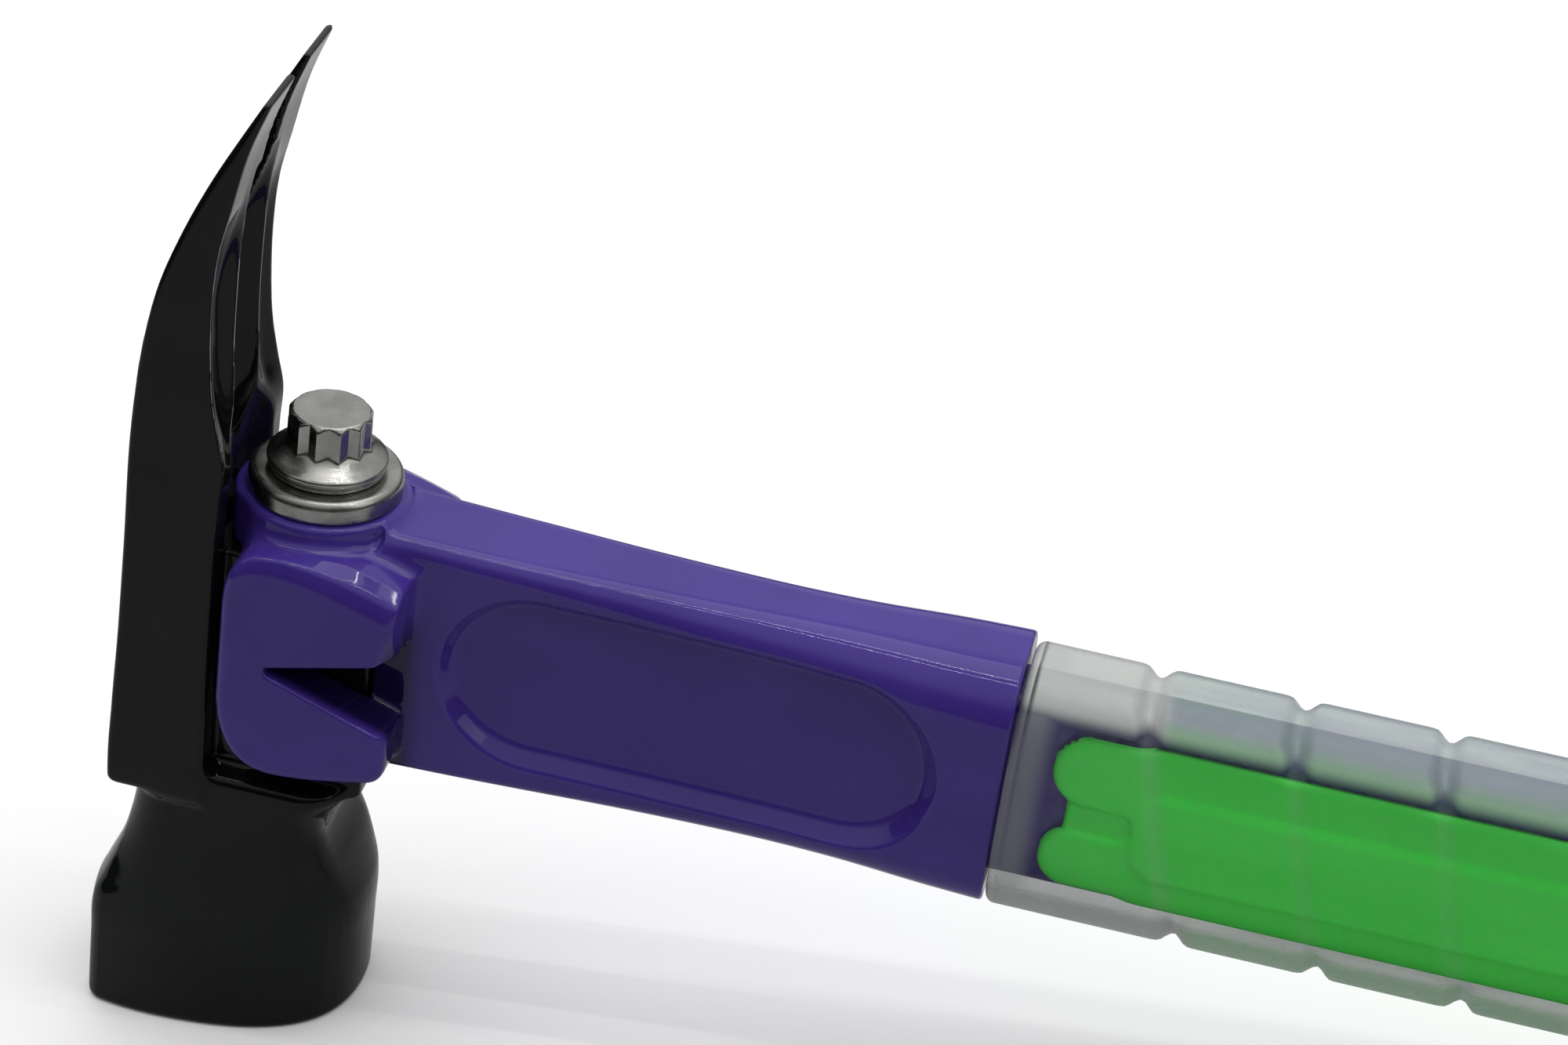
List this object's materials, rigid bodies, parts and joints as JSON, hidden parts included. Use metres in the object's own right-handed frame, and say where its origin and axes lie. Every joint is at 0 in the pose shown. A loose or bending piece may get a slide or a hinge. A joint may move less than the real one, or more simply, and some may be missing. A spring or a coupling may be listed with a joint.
{
  "type": "framing hammer",
  "caption": "Modular straight-claw hammer: a steel head bolted in the cradle of a titanium handle with side nail pullers and a ribbed clear urethane grip.",
  "frame": {"origin": "centre of the striking face; the part stands on that face and on the underside of the grip's butt", "axes": "+Z out of the striking face, up through the head towards the claw; +X towards the butt of the handle; Y across. The bolt's axis leans 6.65 degrees from +Z towards +X, and the handle runs down from +X by the same angle"},
  "size_m": [0.3637, 0.03, 0.1308],
  "materials": {
    "gloss_black_steel": "high-gloss black coat on forged steel",
    "purple_powder_coat": "glossy purple powder coat on titanium",
    "stainless_steel": "machined, satin, slightly worn",
    "magnet_nickel": "bright nickel plate",
    "clear_urethane": "frosted, translucent, softly glossy",
    "green_urethane": "bright lime green, matt, seen through the grip"
  },
  "bodies": {
    "head": {"hammer_head": "gloss_black_steel", "nail_magnet": "magnet_nickel"},
    "handle": {"handle_frame": "purple_powder_coat", "grip_sleeve": "clear_urethane", "grip_plate_left": "green_urethane", "grip_plate_right": "green_urethane"},
    "washer": {"bolt_washer": "stainless_steel"},
    "bolt": {"head_bolt": "stainless_steel"}
  },
  "joints": [
    {"name": "head_release", "type": "slide", "parent": "head", "child": "handle", "axis": [0.1158, 0, 0.9933], "range_m": [0, 0.034]},
    {"name": "bolt_lift", "type": "slide", "parent": "handle", "child": "washer", "axis": [0.1158, 0, 0.9933], "range_m": [0, 0.0228]},
    {"name": "bolt_turn", "type": "hinge", "parent": "washer", "child": "bolt", "pos_m": [0.01647, 0, 0.0748], "axis": [0.1158, 0, 0.9933], "range_deg": [0, 7740]}
  ],
  "couplings": [
    {"joint": "bolt_lift", "follows": "bolt_turn", "m_per_rad": 0.00016844}
  ]
}
